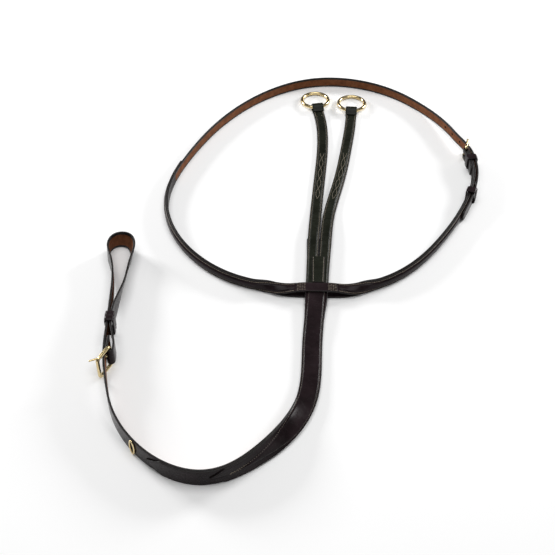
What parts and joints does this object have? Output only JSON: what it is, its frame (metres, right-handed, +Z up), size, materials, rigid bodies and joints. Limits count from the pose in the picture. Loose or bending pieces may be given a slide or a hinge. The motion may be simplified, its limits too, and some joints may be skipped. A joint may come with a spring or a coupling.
{
  "type": "running martingale",
  "caption": "Running martingale of dark leather: buckled neck strap, forks with rein rings, and a centre strap ending in a girth loop.",
  "frame": {"origin": "middle of the object's bounding box, on the surface it lies on", "axes": "+Y from the girth loop end towards the rein rings, +Z up, +X towards the neck buckle"},
  "size_m": [0.5118, 0.7376, 0.0365],
  "materials": {
    "dark_leather": "satin dark brown bridle leather",
    "flesh_leather": "brown flesh side",
    "thread": "waxed thread",
    "filler": "filler strip",
    "brass": "polished"
  },
  "bodies": {
    "centre_strap": {"girth_strap": "dark_leather", "chest_second_ply": "dark_leather", "chest_raised_ply": "dark_leather", "chest_core": "filler", "chest_oval_ring": "brass", "yoke_cover": "dark_leather", "fork_left_root": "dark_leather", "fork_right_root": "dark_leather"},
    "neck_strap": {"neck_lining": "dark_leather", "neck_raised_ply_right": "dark_leather", "neck_raised_ply_left": "dark_leather", "neck_core_right": "filler", "neck_core_left": "filler", "neck_loop_band": "dark_leather", "neck_billet": "dark_leather", "neck_chape": "dark_leather", "neck_fixed_keeper": "dark_leather"},
    "neck_buckle": {"neck_buckle_frame": "brass"},
    "neck_tongue": {"neck_buckle_tongue": "brass"},
    "neck_runner": {"neck_running_keeper": "dark_leather"},
    "fork_left": {"fork_left_lining": "dark_leather", "fork_left_raised_ply": "dark_leather", "fork_left_core": "filler"},
    "fork_right": {"fork_right_lining": "dark_leather", "fork_right_raised_ply": "dark_leather", "fork_right_core": "filler"},
    "rein_ring_left": {"rein_ring_left": "brass"},
    "rein_ring_right": {"rein_ring_right": "brass"},
    "girth_buckle": {"girth_buckle_frame": "brass"},
    "girth_tongue": {"girth_buckle_tongue": "brass"},
    "girth_keeper": {"girth_keeper": "dark_leather"}
  },
  "joints": [
    {"name": "neck_strap_slide", "type": "slide", "parent": "centre_strap", "child": "neck_strap", "axis": [0.0821, 0.9966, 0], "range_m": [-0.01, 0]},
    {"name": "neck_buckle_swing", "type": "hinge", "parent": "neck_strap", "child": "neck_buckle", "pos_m": [0.24154, 0.1876, 0.0134], "axis": [0, 0, -1], "range_deg": [-1.5, 2.5]},
    {"name": "neck_tongue_swing", "type": "hinge", "parent": "neck_buckle", "child": "neck_tongue", "pos_m": [0.24154, 0.1876, 0.0134], "axis": [0, 0, -1], "range_deg": [0, 2.5]},
    {"name": "neck_runner_slide", "type": "slide", "parent": "neck_strap", "child": "neck_runner", "axis": [-0.3508, -0.9365, 0], "range_m": [-0.006, 0.006]},
    {"name": "fork_left_lift", "type": "hinge", "parent": "centre_strap", "child": "fork_left", "pos_m": [0.0188, 0.022, 0.0112], "axis": [1, 0, 0], "range_deg": [0, 60]},
    {"name": "rein_ring_left_swing", "type": "hinge", "parent": "fork_left", "child": "rein_ring_left", "pos_m": [0.0309, 0.307, 0.0058], "axis": [0.9873, 0.1591, 0], "range_deg": [0, 120]},
    {"name": "fork_right_lift", "type": "hinge", "parent": "centre_strap", "child": "fork_right", "pos_m": [0.0354, 0.022, 0.0112], "axis": [1, 0, 0], "range_deg": [0, 60]},
    {"name": "rein_ring_right_swing", "type": "hinge", "parent": "fork_right", "child": "rein_ring_right", "pos_m": [0.082, 0.2985, 0.0058], "axis": [0.9967, -0.0808, 0], "range_deg": [0, 120]},
    {"name": "girth_buckle_swing", "type": "hinge", "parent": "centre_strap", "child": "girth_buckle", "pos_m": [-0.2306, -0.196, 0.0185], "axis": [0, 0, -1], "range_deg": [-1, 25]},
    {"name": "girth_tongue_swing", "type": "hinge", "parent": "centre_strap", "child": "girth_tongue", "pos_m": [-0.2306, -0.196, 0.0185], "axis": [0, 0, -1], "range_deg": [-4, 4]},
    {"name": "girth_keeper_slide", "type": "slide", "parent": "centre_strap", "child": "girth_keeper", "axis": [0.0031, 1, 0], "range_m": [-0.003, 0.006]}
  ]
}
